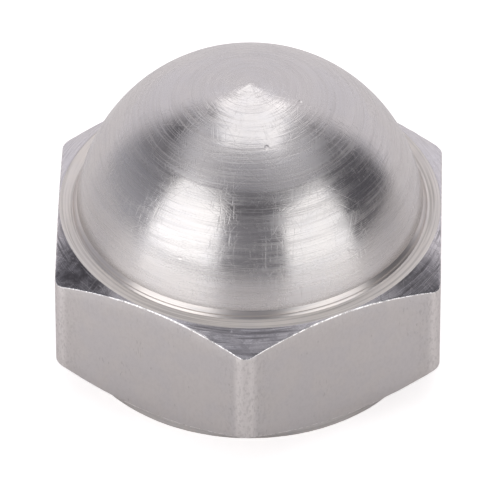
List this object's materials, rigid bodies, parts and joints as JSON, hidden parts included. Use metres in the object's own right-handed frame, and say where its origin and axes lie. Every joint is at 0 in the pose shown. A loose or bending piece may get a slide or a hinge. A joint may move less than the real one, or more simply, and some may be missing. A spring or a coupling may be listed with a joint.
{
  "type": "cap nut",
  "caption": "Low hexagon cap nut with a domed closed end and a round bearing collar; it screws onto the end of a threaded bolt or stud and covers it.",
  "frame": {"origin": "centre of the bearing face, on the thread's axis", "axes": "+Z along the thread's axis towards the top of the dome; two wrench flats face -X and +X, and a corner of the hexagon faces -Y"},
  "size_m": [0.019, 0.0218, 0.0155],
  "materials": {
    "bright_steel": "bright machined stainless steel: fine turning marks on the dome and ring, duller drawn hexagon flats with small pits"
  },
  "bodies": {
    "root": {"cap_nut": "bright_steel"}
  },
  "joints": []
}
